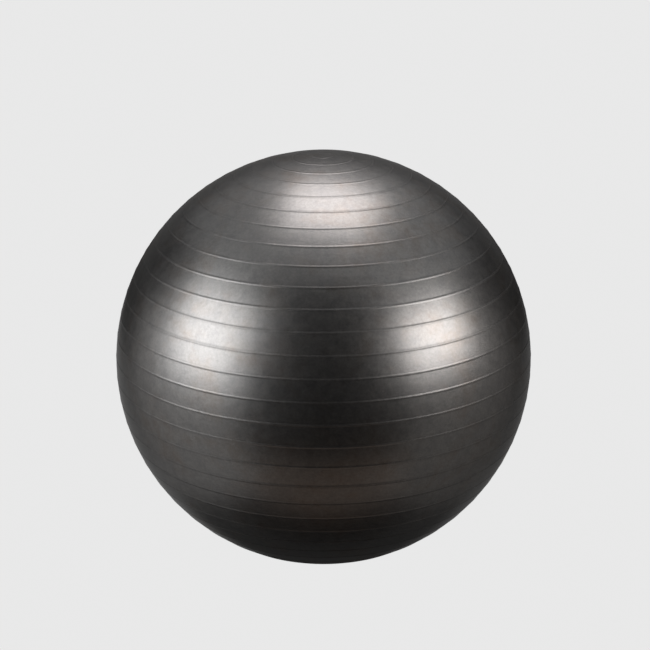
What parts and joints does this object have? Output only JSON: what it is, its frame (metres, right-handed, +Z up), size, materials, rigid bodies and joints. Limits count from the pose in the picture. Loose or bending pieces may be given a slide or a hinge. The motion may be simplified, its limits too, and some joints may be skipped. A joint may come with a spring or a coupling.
{
  "type": "exercise ball",
  "caption": "Large inflated exercise ball with raised rings around its smooth hollow shell, a valve seat bonded in the wall and a pull-out valve plug.",
  "frame": {"origin": "middle of the flat on the ball's underside, on the floor plane", "axes": "+Z up through the ball's two poles, +Y out of the valve, +X to the right of a viewer who faces the side away from the valve"},
  "size_m": [0.65, 0.65, 0.6477],
  "materials": {
    "shell_pvc": "satin charcoal soft PVC",
    "seat_pvc": "matt charcoal soft PVC",
    "plug_plastic": "semi-matt off-white polyethylene"
  },
  "bodies": {
    "ball": {"ball_shell": "shell_pvc", "valve_seat": "seat_pvc"},
    "plug": {"valve_plug": "plug_plastic"}
  },
  "joints": [
    {"name": "plug_pull", "type": "slide", "parent": "ball", "child": "plug", "axis": [0, 1, 0], "range_m": [0, 0.03]}
  ]
}
